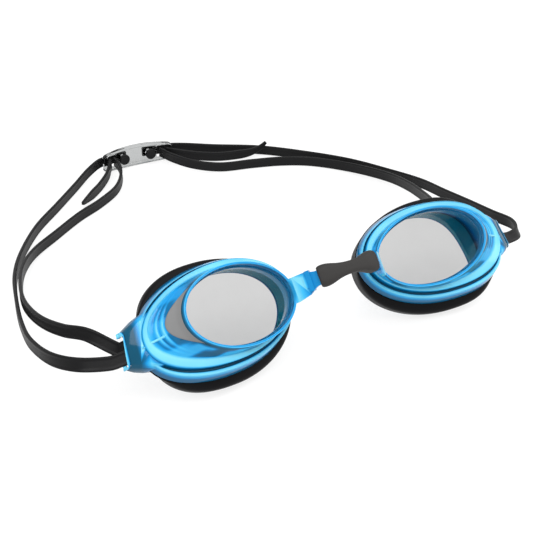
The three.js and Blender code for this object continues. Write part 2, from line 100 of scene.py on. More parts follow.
def on_side(side, matrix=EYECUP):
    """The place of an eyecup's or a nose tab's drawing on one side."""
    return GOGGLES @ (matrix if side > 0 else MIRROR @ matrix)


def direction(azimuth, elevation):
    """Unit vector towards a place round the goggles, azimuth 0 being in front of them."""
    level = math.cos(elevation)
    return Vector((math.sin(azimuth) * level, -math.cos(azimuth) * level, math.sin(elevation)))


# ------------------------------------------------------------------ camera

CAMERA_AZIMUTH = math.radians(-31.3)
CAMERA_ELEVATION = math.radians(28.6)
CAMERA_FROM_GOGGLES = Vector((-175.1, -238.3, 163.5)) * MM
SENSOR_WIDTH = 36
LENS_TO_WIDTH = 1000 / 533          # focal length in widths of the picture
NEAREST = 0.01                      # metres; what is nearer isn't drawn


def add_camera():
    """The scene's camera."""
    data = bpy.data.cameras.new("camera")
    data.sensor_width = SENSOR_WIDTH
    data.lens = data.sensor_width * LENS_TO_WIDTH
    data.clip_start = NEAREST
    camera = bpy.data.objects.new("camera", data)
    bpy.context.scene.collection.objects.link(camera)
    away = direction(CAMERA_AZIMUTH, CAMERA_ELEVATION)
    camera.rotation_euler = away.to_track_quat("Z", "Y").to_euler()
    camera.location = GOGGLES.translation + CAMERA_FROM_GOGGLES
    bpy.context.scene.camera = camera


add_camera()

# ------------------------------------------------------------------ outlines

# An oval reaches `nose` and `temple` to the sides of its centre, and `half` up and down.
# `full` below 1 squares the temple side, `tilt` turns the long axis, `shear` slants it.
WINDOW = dict(u=0, v=0.4, nose=21, temple=21, half=13, tilt=-0.03)
SHELF_INNER = dict(u=2, v=0.3, nose=24.6, temple=28.5, half=14.2)
SHELF_OUTER = dict(u=3, v=0.35, nose=26.8, temple=29.5, half=16.05, full=0.95, tilt=0.05)
FLANGE_FRONT = dict(u=3, v=-0.5, nose=28.5, temple=29.7, half=17.4, full=0.87, tilt=0.05)
FLANGE_REAR = dict(u=3, v=-0.8, nose=29.2, temple=29.7, half=18.6, full=0.87, tilt=0.05)
CUSHION = dict(u=4.7, v=-1.6, nose=31.2, temple=25, half=21.1, full=0.77)
FACE_OPENING = dict(u=0.5, v=-1.7, nose=25.4, temple=20, half=16.2, full=0.75, shear=0.18)

AROUND = 192                        # points round an eyecup
ANGLES = np.linspace(0, 2 * math.pi, AROUND, endpoint=False)
TEMPLE = np.maximum(0, np.cos(ANGLES)) ** 2     # 1 at the temple, 0 on the nose side

RING_WIDTH = 0.9                    # ring round the window
RING_FOOT = RING_WIDTH + 0.1
RING_FOOT_DEPTH = 0.8
TEMPLE_SWEEP = 6.5                  # how much deeper the flange lies at the temple
FLANGE_DEPTH = 5.6                  # flange front edge at the nose side
FLANGE_SIDE = 4.2                   # height of the flange's side wall
SHELF_STEP = 1.6                    # how far the shelf lies in front of the flange
CUSHION_DEPTH = 17.6                # seal's rear rim at the nose side
CUSHION_SWEEP = 0.45                # share of the sweep that the seal's rim takes
LENS_THICKNESS = 1.6
LENS_RECESS = 0.5                   # front window below the ring's front edge
TOUCH = 0.3                         # clearance between pieces that touch

FLANGE = FLANGE_DEPTH + TEMPLE_SWEEP * TEMPLE
SHELF = FLANGE - SHELF_STEP
CUSHION_REAR = CUSHION_DEPTH + TEMPLE_SWEEP * TEMPLE * CUSHION_SWEEP
LENS_BACK = LENS_RECESS + LENS_THICKNESS

FILLET = 0.3
FILLET_STEPS = 4
FILLET_SHARE = 0.45                 # the most of an edge that one fillet takes
SHORTEST = 1e-9                     # keeps an edge of no length from dividing by zero


def outline(o, grow=0.0, angles=ANGLES):
    """Points of an oval outline, 0 at the temple, where it may be fuller than an ellipse."""
    c, s = np.cos(angles), np.sin(angles)
    power = np.where(c > 0, o.get("full", 1), 1)
    x = (np.where(c > 0, o["temple"], o["nose"]) + grow) * np.sign(c) * np.abs(c) ** power
    y = (o["half"] + grow) * np.sign(s) * np.abs(s) ** power
    return np.stack([o["u"] + x - o.get("shear", 0) * y, o["v"] + y - o.get("tilt", 0) * x], 1)


def mix(a, b, share):
    """a at share 0, b at share 1."""
    return a * (1 - share) + b * share


def ease(share):
    """A share from 0 to 1 that starts and ends slowly."""
    return share * share * (3 - 2 * share)


def station(points, depth, painted_light=0.5):
    """One loop round the eyecup at a depth, with its painted light: how pale its colour is painted
    there.
    """
    loop = np.column_stack([points, -np.broadcast_to(depth, len(points))])
    return loop, np.broadcast_to(painted_light, len(points)).astype(float)


def filleted(stations, radius=FILLET, steps=FILLET_STEPS):
    """The loops of a closed section with each of its corners rounded, and their painted light."""
    p = np.array([loop for loop, _ in stations])
    painted_lights = np.array([painted_light for _, painted_light in stations])

    def toward(step):
        d = np.roll(p, step, 0) - p
        length = np.linalg.norm(d, axis=2, keepdims=True)
        share = np.minimum(radius / np.maximum(length, SHORTEST), FILLET_SHARE)
        return p + d * share, mix(painted_lights, np.roll(painted_lights, step, 0), share[..., 0])

    (a, light_a), (b, light_b) = toward(1), toward(-1)
    loops = []
    for k in range(len(p)):
        for t in np.linspace(0, 1, steps + 1):
            loop = a[k] * (1 - t) ** 2 + 2 * p[k] * t * (1 - t) + b[k] * t * t
            loops.append((loop, mix(light_a[k], light_b[k], t)))
    return loops


# ------------------------------------------------------------------ meshes

MERGE_DISTANCE = 2e-7               # metres


def loft(name, loops, place=Matrix.Identity(4), closed=False, smooth=40):
    """A closed mesh through loops of equal length; open lofts get a cap at each end."""
    shapes = [loop[0] if isinstance(loop, tuple) else np.asarray(loop, float)
              for loop in loops]
    count = len(shapes[0])
    faces = []
    for i in range(len(shapes) if closed else len(shapes) - 1):
        a, b = i * count, (i + 1) % len(shapes) * count
        for j in range(count):
            k = (j + 1) % count
            faces.append((a + j, a + k, b + k, b + j))
    if not closed:
        faces.append(tuple(range(count))[::-1])
        faces.append(tuple(range((len(shapes) - 1) * count, len(shapes) * count)))
    mesh = bpy.data.meshes.new(name)
    mesh.from_pydata([place @ Vector(p) for p in np.concatenate(shapes)], [], faces)
    piece = bpy.data.objects.new(name, mesh)
    bpy.context.scene.collection.objects.link(piece)
    return finished(piece, smooth)


def finished(piece, smooth=40):
    """Turns a piece's faces outwards and keeps only its real edges sharp."""
    mesh = piece.data
    bm = bmesh.new()
    bm.from_mesh(mesh)
    bmesh.ops.remove_doubles(bm, verts=bm.verts, dist=MERGE_DISTANCE)
    bmesh.ops.recalc_face_normals(bm, faces=bm.faces)
    if bm.calc_volume(signed=True) < 0:
        bmesh.ops.reverse_faces(bm, faces=bm.faces)
    bm.to_mesh(mesh)
    bm.free()
    mesh.shade_smooth()
    mesh.set_sharp_from_angle(angle=math.radians(smooth))
    return piece


def boolean(piece, tool, operation):
    """Joins or cuts a piece with another closed mesh, which is used up."""
    modifier = piece.modifiers.new("join", "BOOLEAN")
    modifier.operation = operation
    modifier.solver = "EXACT"
    modifier.object = tool
    graph = bpy.context.evaluated_depsgraph_get()
    mesh = bpy.data.meshes.new_from_object(piece.evaluated_get(graph))
    piece.modifiers.clear()
    piece.data = mesh
    bpy.data.objects.remove(tool)
    return piece


# ------------------------------------------------------------------ materials

# The blue plastic's colours by painted light, from the teal liner through painted shade to the
# painted highlights of the lit edges.
BLUE_SHADES = [(0.0, (0.02, 0.33, 0.46)), (0.045, (0.003, 0.075, 0.13)),
               (0.3, (0.003, 0.18, 0.42)), (0.5, (0.010, 0.34, 0.78)),
               (0.75, (0.06, 0.53, 0.90)), (1.0, (0.24, 0.74, 0.95))]
BLUE_DRIFT = (0.82, 1.12)           # how much darker and lighter the shades wander
ROUGHNESS_DRIFT = 0.08              # the same for the silicone's roughness


def material(name, **inputs):
    """A Principled material with its plain values set on the shader's own sockets."""
    made = bpy.data.materials.new(name)
    made.use_nodes = True
    shader = made.node_tree.nodes["Principled BSDF"]
    for key, value in inputs.items():
        shader.inputs[key.replace("_", " ")].default_value = value
    return made, made.node_tree, shader


def noise_in(tree, scale, detail=4.0):
    """Noise laid through the object's own space."""
    coordinates = tree.nodes.new("ShaderNodeTexCoord")
    noise = tree.nodes.new("ShaderNodeTexNoise")
    noise.inputs["Scale"].default_value = scale
    noise.inputs["Detail"].default_value = detail
    tree.links.new(coordinates.outputs["Object"], noise.inputs["Vector"])
    return noise


def ranged(tree, value, low, high, to):
    """Drives one of the shader's numbers from a 0 to 1 value."""
    node = tree.nodes.new("ShaderNodeMapRange")
    node.inputs["To Min"].default_value = low
    node.inputs["To Max"].default_value = high
    tree.links.new(value, node.inputs["Value"])
    tree.links.new(node.outputs["Result"], to)


def blended(tree, factor, a, b):
    """A colour between two, which may be plain colours or other nodes' outputs."""
    node = tree.nodes.new("ShaderNodeMix")
    node.data_type = "RGBA"
    tree.links.new(factor, node.inputs[0])
    for socket, colour in ((node.inputs[6], a), (node.inputs[7], b)):
        if isinstance(colour, tuple):
            socket.default_value = (*colour, 1)
        else:
            tree.links.new(colour, socket)
    return node.outputs[2]


def bumped(tree, shader, height, strength, distance):
    """Fine relief on the shader's surface."""
    node = tree.nodes.new("ShaderNodeBump")
    node.inputs["Strength"].default_value = strength
    node.inputs["Distance"].default_value = distance
    tree.links.new(height, node.inputs["Height"])
    tree.links.new(node.outputs["Normal"], shader.inputs["Normal"])


def blue_plastic():
    """Clear blue plastic with painted light in its colour: painted highlights on its thin lit
    edges, painted shade in its grooves and walls.
    """
    made, tree, shader = material("blue polycarbonate", IOR=1.3)
    painted_light = tree.nodes.new("ShaderNodeAttribute")
    painted_light.attribute_name = "painted_light"
    slow = noise_in(tree, 70)
    shades = []
    for shift in BLUE_DRIFT:
        ramp = tree.nodes.new("ShaderNodeValToRGB")
        while len(ramp.color_ramp.elements) < len(BLUE_SHADES):
            ramp.color_ramp.elements.new(0.5)
        for element, (at, colour) in zip(ramp.color_ramp.elements, BLUE_SHADES):
            element.position = at
            element.color = (*(min(1, c * shift) for c in colour), 1)
        tree.links.new(painted_light.outputs["Fac"], ramp.inputs["Fac"])
        shades.append(ramp.outputs["Color"])
    tree.links.new(blended(tree, slow.outputs["Fac"], *shades), shader.inputs["Base Color"])
    ranged(tree, painted_light.outputs["Fac"], 0.25, 0.2, shader.inputs["Transmission Weight"])
    ranged(tree, noise_in(tree, 500).outputs["Fac"], 0.02, 0.1, shader.inputs["Roughness"])
    bumped(tree, shader, noise_in(tree, 90, 2).outputs["Fac"], 0.05, 0.0004)
    return made


def clear_plate(name, dark, light, rough=0.03, clear=1.0, bend=1.05):
    """Polished clear plastic, faintly clouded between two colours."""
    made, tree, shader = material(name, IOR=bend, Transmission_Weight=clear)
    noise = noise_in(tree, 160)
    tree.links.new(blended(tree, noise.outputs["Fac"], dark, light),
                   shader.inputs["Base Color"])
    ranged(tree, noise.outputs["Fac"], 0, rough, shader.inputs["Roughness"])
    return made


def silicone(name, dark, light, rough, grain, shine):
    """Satin rubber with a fine grain, between two colours."""
    made, tree, shader = material(name, IOR=1.42, Specular_IOR_Level=shine)
    noise = noise_in(tree, grain)
    slow = noise_in(tree, 40, 2)
    tree.links.new(blended(tree, slow.outputs["Fac"], dark, light),
                   shader.inputs["Base Color"])
    ranged(tree, noise.outputs["Fac"], rough - ROUGHNESS_DRIFT, rough + ROUGHNESS_DRIFT,
           shader.inputs["Roughness"])
    bumped(tree, shader, noise.outputs["Fac"], 0.15, 0.0002)
    return made


BLUE = blue_plastic()
FRONT_GREY = clear_plate("front window", (0.57, 0.57, 0.57), (0.60, 0.60, 0.60))
SIDE_GREY = clear_plate("side window", (0.25, 0.25, 0.25), (0.28, 0.28, 0.28),
                        rough=0.1, clear=0.3)
SEAL = silicone("seal silicone", (0.004, 0.004, 0.0045), (0.007, 0.007, 0.0075),
                rough=0.4, grain=900, shine=0.1)
STRAP = silicone("strap silicone", (0.004, 0.004, 0.0045), (0.008, 0.008, 0.0085),
                 rough=0.45, grain=1400, shine=0.2)
BRIDGE = silicone("bridge elastomer", (0.026, 0.025, 0.024), (0.034, 0.032, 0.031),
                  rough=0.6, grain=1100, shine=0.25)
CLEAR = clear_plate("clip polycarbonate", (0.42, 0.43, 0.43), (0.55, 0.56, 0.56),
                    rough=0.08, bend=1.25)


def dressed(piece, look, body, slot, *nodes):
    """Gives a piece its material and body, and hides the CAD nodes it stands for; its slot is not
    used.
    """
    piece.data.materials.clear()
    piece.data.materials.append(look)
    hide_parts(*nodes)
    if body:
        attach(piece, body)
    return piece


# ------------------------------------------------------------------ cup: section

# Painted light: how pale the plastic is painted, from 0, the liner, to 1; painted highlight,
# painted shade, the liner's teal, and painted highlight bands inside.
PAINTED_HIGHLIGHT, PAINTED_SHADE, LINER, LINER_HIGHLIGHT = 1.0, 0.05, 0.0, 0.75
# the wall's middle level of painted light, and the strength of its painted reflection bands
WALL_MID_LIGHT, REFLECTION_CONTRAST = 0.38, 0.2
# painted highlight on the ribs, strongest at the temple
RIB_HIGHLIGHT = 0.95
# painted light and dark reflection bands round the wall
REFLECTION_BANDS, REFLECTION_TURN, REFLECTION_EDGE = 9, 0.9, 3      # how many, where, and how hard-edged

WALL_HOLLOW = 4.6                   # how far the wall is hollowed at the temple
WALL_INSET = 0.9                    # its inner face from its outer one, across
RIBS = (0.56, 0.74)                 # places of the two ribs, from ring (0) to shelf (1)
RIB_FOOT, RIB_TOP = 0.06, 0.02      # half widths, as shares of the wall
RIB_RISE = 0.5
RIB_FADE = 6                        # how fast the ribs die away from the temple
SKIRT_WALL = 0.5                    # inner skirt's thickness inside the seal


def wall_depth(share, angles=ANGLES):
    """Depth of the sloping wall, hollowed a little between the ring and the shelf."""
    temple = np.maximum(0, np.cos(angles)) ** 2
    shelf = FLANGE_DEPTH + TEMPLE_SWEEP * temple - SHELF_STEP
    return mix(RING_FOOT_DEPTH, shelf, share) + temple * WALL_HOLLOW * share * (1 - share)


def on_wall(share, angles=ANGLES):
    """Points of the sloping wall, from the ring's foot (0) to the shelf (1)."""
    foot = outline(WINDOW, RING_FOOT, angles)
    return mix(foot, outline(SHELF_INNER, 0, angles), np.reshape(share, (-1, 1)))


def wall_station(share, rise, painted_light):
    """A loop on the wall's outer face, raised most at the temple."""
    return station(on_wall(share), wall_depth(share) - rise * TEMPLE ** RIB_FADE, painted_light)


def wall_behind(share, thickness):
    """Points and depths of a loop on the wall's inner face."""
    points = on_wall(share)
    inset = WALL_INSET * points / np.linalg.norm(points, axis=1, keepdims=True)
    return points - inset, wall_depth(share) + thickness


def wall_light(turned=0.0):
    """The wall's painted light: painted light and dark reflection bands round it, stronger below
    the window.
    """
    reflections = np.clip(REFLECTION_EDGE * np.sin(REFLECTION_BANDS * ANGLES + REFLECTION_TURN + turned), -1, 1)
    lower = np.maximum(0, np.sin(-ANGLES))
    return WALL_MID_LIGHT + REFLECTION_CONTRAST * reflections * (0.5 + lower)


def wall_and_ribs():
    """The wall's outer face, with a line of painted shade under the ring and two ribs."""
    around = wall_light()
    rib = mix(wall_light(), RIB_HIGHLIGHT, TEMPLE ** 4)
    loops = [wall_station(0.1, 0, PAINTED_SHADE), wall_station(0.16, 0, wall_light(1.2)),
             wall_station(0.42, 0, around)]
    for at in RIBS:
        loops += [wall_station(at - RIB_FOOT, 0, around), wall_station(at - RIB_TOP, RIB_RISE, rib),
                  wall_station(at + RIB_TOP, RIB_RISE, rib), wall_station(at + RIB_FOOT, 0, around)]
    return loops


def cup_stations():
    """The cup's section: ring, wall, shelf, groove, flange, then back up its inside, each loop with
    its painted light.
    """
    shelf_in, shelf_out = outline(SHELF_INNER), outline(SHELF_OUTER)
    front, rear = outline(FLANGE_FRONT), outline(FLANGE_REAR)
    inner_wall, skirt = outline(FACE_OPENING, -0.1), outline(FACE_OPENING, SKIRT_WALL)
    inner_low, low_depth = wall_behind(0.8, 1.5)
    inner_high, high_depth = wall_behind(0.3, 1.7)
    side = FLANGE + FLANGE_SIDE
    return [
        # the ring, with a fine groove between its two lines: painted highlights on the lines,
        # painted shade in the groove
        station(outline(WINDOW, 0.05), 0.3, 0.3),
        station(outline(WINDOW, 0.28), 0, 0.9),
        station(outline(WINDOW, 0.5), 0.2, 0.1),
        station(outline(WINDOW, 0.72), 0, 1.0),
        station(outline(WINDOW, RING_WIDTH), 0.12, 0.6),
        station(outline(WINDOW, RING_FOOT), RING_FOOT_DEPTH, PAINTED_SHADE),
        *wall_and_ribs(),
        # the shelf, with a painted highlight
        station(mix(shelf_in, shelf_out, -0.06), SHELF - 0.1, 0.7),
        station(mix(shelf_in, shelf_out, 0.1), SHELF - 0.25, PAINTED_HIGHLIGHT),
        station(mix(shelf_in, shelf_out, 0.92), SHELF - 0.05, 0.9),
        station(shelf_out, SHELF + 0.4, 0.4),
        # the groove, in painted shade
        station(mix(shelf_out, front, 0.06), FLANGE + 1.2, PAINTED_SHADE),
        station(mix(shelf_out, front, 0.4), FLANGE + 1.2, PAINTED_SHADE),
        # the flange, its side and its back: a painted highlight on its front edge, painted shade on
        # its side and back
        station(mix(shelf_out, front, 0.46), FLANGE + 0.1, 0.8),
        station(mix(shelf_out, front, 0.9), FLANGE - 0.1, PAINTED_HIGHLIGHT),
        station(front, FLANGE + 0.4, 0.7),
        station(mix(front, rear, 0.5), FLANGE + 2, 0.2),
        station(rear, side - 0.3, 0.15),
        station(outline(FLANGE_REAR, -0.3), side, 0.3),
        station(outline(FLANGE_REAR, -1.6), side, 0.2),
        # the skirt, which lines the seal's opening: painted shade, then painted highlight bands
        # near its rim
        station(mix(skirt, rear, 0.3), side + 0.2, 0.1),
        station(skirt, side + 1.4, 0.1),
        station(skirt, CUSHION_REAR - 0.9, 0.3),
        station(outline(FACE_OPENING, 0.2), CUSHION_REAR - 0.7, LINER_HIGHLIGHT),
        station(outline(FACE_OPENING, -0.2), CUSHION_REAR - 1.1, LINER_HIGHLIGHT),
        station(inner_wall, CUSHION_REAR - 1.7, LINER),
        station(inner_wall, CUSHION_REAR - 2.6, LINER),
        station(inner_wall, side + 0.9, LINER),
        # the wall's inner face, up to the seat of the front window, with painted highlight bands
        # and painted shade
        station(mix(inner_low, inner_wall, 0.5), FLANGE + 3.4, LINER),
        station(mix(inner_low, inner_wall, 0.25), FLANGE + 2.4, LINER_HIGHLIGHT),
        station(inner_low, low_depth, LINER_HIGHLIGHT),
        station(inner_high, high_depth, PAINTED_SHADE),
        station(outline(WINDOW, -0.1), LENS_BACK + 1.5, 1.0),
        station(outline(WINDOW, -0.5), LENS_BACK + 1.2, 0.6),
        station(outline(WINDOW, -0.5), LENS_BACK + TOUCH, 0.6),
        station(outline(WINDOW), LENS_BACK + TOUCH, 0.6),
    ]


# ------------------------------------------------------------------ cup: side window

SIDE_FROM, SIDE_TO = -43, 51        # degrees round the ring
SIDE_STEPS, SIDE_ROWS = 56, 16
SIDE_START, SIDE_REACH = 0.03, 0.47             # shares of the wall, from its ring edge
SIDE_LEAST = 0.05                   # its reach at the two ends
SIDE_POINT = 1.3                    # how pointed the ends are
MM_ALONG, MM_ACROSS = 12, 9         # what turns an inset into shares of length and wall
SIDE_GAP = 0.12                     # gap round the side window
SIDE_SUNK = 0.08                    # how far it lies below the wall's face
SIDE_THICKNESS = 1.1


def side_window_edge(inset):
    """Angles round the ring, and the side window's near and far edges on the wall."""
    across = np.linspace(inset / MM_ALONG, 1 - inset / MM_ALONG, SIDE_STEPS)
    angles = np.radians(mix(SIDE_FROM, SIDE_TO, across))
    reach = SIDE_REACH * np.sin(math.pi * across) ** SIDE_POINT
    inset = inset / MM_ACROSS
    return angles, SIDE_START + inset, np.maximum(reach - inset, SIDE_LEAST + inset)


def side_window_prism(place):
    """The side window's rounded triangle, pushed straight through the wall."""
    angles, near, far = side_window_edge(0)
    points = np.concatenate([on_wall(near, angles), on_wall(far, angles)[::-1]])
    return loft("opening", [station(points, -1), station(points, 8.8)], place)


# ------------------------------------------------------------------ cup: buckle

POST = dict(u=34, depth=17.4, radius=1.1, bottom=-6.8, top=4.6)
BUCKLE_TOP, BUCKLE_BOTTOM, BUCKLE_WALL = 4.9, -7.1, 1.2
BUCKLE_ROOM = [(30.3, 12.6), (34, 13.9), (38.4, 15.8), (50, 20), (50, 40), (30.3, 40)]
HOOD_SLANT = 0.14                   # how much the outer end leans out towards its bottom

# Sections: u, top, bottom, depth of the front face, depth of the rear edge.
HOOD = [(25.5, 9.2, -10.6, 9.9, 15.4), (28, 8.7, -10.0, 10.2, 17),
        (31, 7.5, -9.0, 11.2, 18.6), (33.4, 6.2, -7.9, 12.8, 19),
        (35.2, 5.3, -6.8, 14.3, 18.9), (35.9, 4.9, -6.2, 15, 18.8)]
LIP = [(35.6, 4.9, -6.3, 14.7, 19.0), (35.8, 5.2, -6.6, 14.6, 19.2),
       (36.2, 5.2, -6.6, 15.0, 19.2), (36.4, 4.9, -6.3, 15.4, 19.0)]
HOOD_CORNER = [(1.6, 0), (1.0, 0.25), (0.4, 0.75), (0, 1.6)]    # across, down

LUGS = ((35.8, 4.3), (37.2, -5.6))  # u, v
LUG = dict(front=17.6, rear=18.3, out=0.9, radius=0.8)
BAR_SIDES = 32
BAR_BEVEL, BAR_END = 0.04, 0.75     # share of the length, and of the radius

RIB_PATH = [(26.3, -0.9, 6.9), (28, -1.2, 8.3), (30.4, -1.6, 10.2), (33.2, -2.1, 11.8)]
RADIAL_HALF, RADIAL_CREST = 0.35, 0.15          # half widths at its foot and crest
RADIAL_RISE, RADIAL_ROOT = 0.25, 1.2


def buckle_section(u, top, bottom, front, rear):
    """Hood section with rounded front corners."""
    upper = [(top - across, -front - down) for across, down in HOOD_CORNER]
    lower = [(bottom + across, -front - down) for across, down in HOOD_CORNER]
    slant = HOOD_SLANT * (u - HOOD[0][0]) / (HOOD[-1][0] - HOOD[0][0])
    return [(u + slant * (top - v), v, z)
            for v, z in upper + [(top, -rear), (bottom, -rear)] + lower[::-1]]


def bar_between(name, a, b, radius, place):
    """A round bar with bevelled ends between two points of the eyecup's drawing."""
    a, b = Vector(a), Vector(b)
    turn = (b - a).to_track_quat("Z", "Y").to_matrix()
    ring = [turn @ Vector((radius * math.cos(t), radius * math.sin(t), 0))
            for t in np.linspace(0, 2 * math.pi, BAR_SIDES, endpoint=False)]
    ends = [a, a + (b - a) * BAR_BEVEL, b - (b - a) * BAR_BEVEL, b]
    sizes = [BAR_END, 1, 1, BAR_END]
    return loft(name, [[e + p * s for p in ring] for e, s in zip(ends, sizes)], place)


def buckle_hood(place):
    """The hood over the post with its lip, cut back to clear the eye and the seal."""
    hood = loft("housing", [buckle_section(*row) for row in HOOD], place)
    boolean(hood, loft("lip", [buckle_section(*row) for row in LIP], place), "UNION")
    eye = [station(outline(SHELF_INNER, grow), depth) for grow, depth in ((-1, 5), (0.5, 30))]
    boolean(hood, loft("eye_room", eye, place), "DIFFERENCE")
    around_seal = outline(CUSHION, 0.3)
    seal_room = [station(around_seal, FLANGE + FLANGE_SIDE), station(around_seal, 40)]
    return boolean(hood, loft("seal_room", seal_room, place), "DIFFERENCE")


def buckle_room(place):
    """The space inside the hood, open at its outer end and back."""
    levels = (BUCKLE_BOTTOM + BUCKLE_WALL, BUCKLE_TOP - BUCKLE_WALL)
    return loft("room", [[(u, v, -depth) for u, depth in BUCKLE_ROOM] for v in levels], place)


def radial_rib(place):
    """A low bar that runs from the side window out to the hood, across the wall's ribs."""
    sections = [[(u, v + RADIAL_HALF, -d), (u, v + RADIAL_CREST, -d + RADIAL_RISE),
                 (u, v - RADIAL_CREST, -d + RADIAL_RISE), (u, v - RADIAL_HALF, -d),
                 (u, v - RADIAL_HALF, -d - RADIAL_ROOT), (u, v + RADIAL_HALF, -d - RADIAL_ROOT)]
                for u, v, d in RIB_PATH]
    return loft("rib", sections, place)


def post_and_lugs(place):
    """The post that the strap turns round, and the small lugs at the hood's open end."""
    low, high = ((POST["u"], v, -POST["depth"]) for v in (POST["bottom"], POST["top"]))
    bars = [bar_between("post", low, high, POST["radius"], place)]
    for u, v in LUGS:
        bars.append(bar_between("lug", (u, v, -LUG["front"]), (u + LUG["out"], v, -LUG["rear"]),
                                LUG["radius"], place))
    return bars


# ------------------------------------------------------------------ cup: nose tab

TAB_SLOPE = math.atan2(0.8, 1)
TAB_THICKNESS, STOP_THICKNESS, STEP_THICKNESS, SOCKET_THICKNESS = 1.5, 2.9, 2.4, 2.7

# Sections in goggle axes: x, y, top, bottom.
TAB = [(19.2, 5.2, 4.2, -4.4), (17.4, 3.1, 4.2, -4.4), (14, 0.1, 4.3, -3.4),
       (12, -1.7, 3.6, -1.8), (11.4, -2.3, 3.4, -1.6), (7.6, -4.4, 3.3, -1.5)]
STOP = [(13.9, 0, 4.4, -2.6), (12.6, -1.15, 4.4, -2.6)]
STEP = [(14.7, 0.7, 2.6, -1.2), (13.6, -0.3, 2.6, -1.2)]
SOCKET = [(14.4, 0.2, 4, -2.2), (11.4, -2.3, 4, -2.2), (6.8, -4.8, 3.9, -2.1)]


def tab_section(x, y, top, bottom, thickness):
    """A slanted slab's section, its thickness square to the tab."""
    dx, dy = math.sin(TAB_SLOPE) * thickness / 2, math.cos(TAB_SLOPE) * thickness / 2
    return [(x - dx, y + dy, top), (x + dx, y - dy, top),
            (x + dx, y - dy, bottom), (x - dx, y + dy, bottom)]


def slab(name, rows, thickness, side):
    """A plate through a list of the tab's sections."""
    place = on_side(side, Matrix.Identity(4))
    return loft(name, [tab_section(*row, thickness) for row in rows], place)


def nose_tab(side):
    """The plate that plugs into the bridge, with a stepped catch across it."""
    plate = slab("tab", TAB, TAB_THICKNESS, side)
    stop = slab("stop", STOP, STOP_THICKNESS, side)
    boolean(stop, slab("step", STEP, STEP_THICKNESS, side), "UNION")
    boolean(plate, stop, "UNION")
    window = [station(outline(WINDOW), depth) for depth in (-1, LENS_BACK)]
    return boolean(plate, loft("hole", window, on_side(side)), "DIFFERENCE")


# ------------------------------------------------------------------ cup: the whole

# Painted light of the parts that are joined to the section, and where those parts are: painted
# shade on the hood, the lip and tab painted pale, the catch between.
HOOD_SHADE, LIP_HIGHLIGHT, TAB_LIGHT, CATCH_LIGHT = 0.07, 0.9, 1.0, 0.42
LIP_U = 35.95                       # the lip starts here, at the hood's top
TAB_X, CATCH_X = 25, 14.9           # from the nose outwards: catch, tab, cup
RADIAL_V, RADIAL_REACH = -1.4, 1.1
RADIAL_FROM_U, RADIAL_TO_U = 26, 33.3
ON_SECTION, NEAR_SECTION = 0.1 * MM, 1.2 * MM


def painted_light_at(at, x, gap, section_light):
    """The painted light at a point, by the section near it or the part it is on, with a painted
    highlight beside the radial rib.
    """
    beside_rib = abs(at.y - RADIAL_V) < RADIAL_REACH and RADIAL_FROM_U < at.x < RADIAL_TO_U
    if beside_rib and ON_SECTION < gap < NEAR_SECTION:
        return PAINTED_HIGHLIGHT
    if gap < NEAR_SECTION:
        return section_light
    if x < CATCH_X:
        return CATCH_LIGHT
    if x < TAB_X:
        return TAB_LIGHT
    lip_edge = LIP_U + HOOD_SLANT * (HOOD[-1][1] - at.y)
    return LIP_HIGHLIGHT if at.x > lip_edge else HOOD_SHADE


def store_painted_light(piece, stations, side):
    """Stores the painted light on each of the cup's vertices."""
    place, goggles = on_side(side), on_side(side, Matrix.Identity(4)).inverted()
    cup = place.inverted()
    tree = KDTree(len(stations) * AROUND)
    painted_lights = []
    for loop, painted_light in stations:
        for p, t in zip(loop, painted_light):
            tree.insert(place @ Vector(p), len(painted_lights))
            painted_lights.append(float(t))
    tree.balance()
    attribute = piece.data.attributes.new("painted_light", "FLOAT", "POINT")
    for i, vertex in enumerate(piece.data.vertices):
        _, nearest, gap = tree.find(vertex.co)
        attribute.data[i].value = painted_light_at(cup @ vertex.co, (goggles @ vertex.co).x, gap,
                                          painted_lights[nearest])


def eyecup_frame(name, side):
    """One blue cup, with its buckle and nose tab."""
    place = on_side(side)
    stations = filleted(cup_stations())
    cup = loft(f"{name}_cup", stations, place, closed=True)
    boolean(cup, buckle_hood(place), "UNION")
    boolean(cup, buckle_room(place), "DIFFERENCE")
    boolean(cup, side_window_prism(place), "DIFFERENCE")
    boolean(cup, radial_rib(place), "UNION")
    for bar in post_and_lugs(place):
        boolean(cup, bar, "UNION")
    boolean(cup, nose_tab(side), "UNION")
    finished(cup, 35)
    store_painted_light(cup, stations, side)
    return dressed(cup, BLUE, f"{name}_eyecup", "frame", f"{name}_frame")


# ------------------------------------------------------------------ windows and seal

LENS_BED = 0.15                     # how far the front window's edge is let into the ring
LENS_BEVEL, LENS_BEVEL_DEPTH = 0.1, 0.15
SEAL_NOSE_IN = 0.2                  # the seal's rear rim is drawn in beside the nose
SEAL_FILLET, SEAL_FILLET_STEPS = 0.9, 5


def front_lens(name, side):
    """The flat oval window with a bevelled edge."""
    edge, face = outline(WINDOW, LENS_BED), outline(WINDOW, LENS_BED - LENS_BEVEL)
    loops = [station(face, LENS_RECESS), station(edge, LENS_RECESS + LENS_BEVEL_DEPTH),
             station(edge, LENS_BACK - LENS_BEVEL_DEPTH), station(face, LENS_BACK)]
    piece = loft(f"{name}_front_window", loops, on_side(side), smooth=30)
    return dressed(piece, FRONT_GREY, f"{name}_eyecup", "front_lens", f"{name}_front_lens")


def side_lens(name, side):
    """The curved triangular window that continues the wall, a hair below its surface."""
    angles, near, far = side_window_edge(SIDE_GAP)
    loops = []
    for angle, reach in zip(angles, far):
        share = np.linspace(near, reach, SIDE_ROWS)
        points = on_wall(share, np.full(SIDE_ROWS, angle))
        face = np.column_stack([points, -(wall_depth(share, angle) + SIDE_SUNK)])
        loops.append(np.concatenate([face, (face - [0, 0, SIDE_THICKNESS])[::-1]]))
    piece = loft(f"{name}_side_window", loops, on_side(side), smooth=35)
    return dressed(piece, SIDE_GREY, f"{name}_eyecup", "side_lens", f"{name}_side_lens")


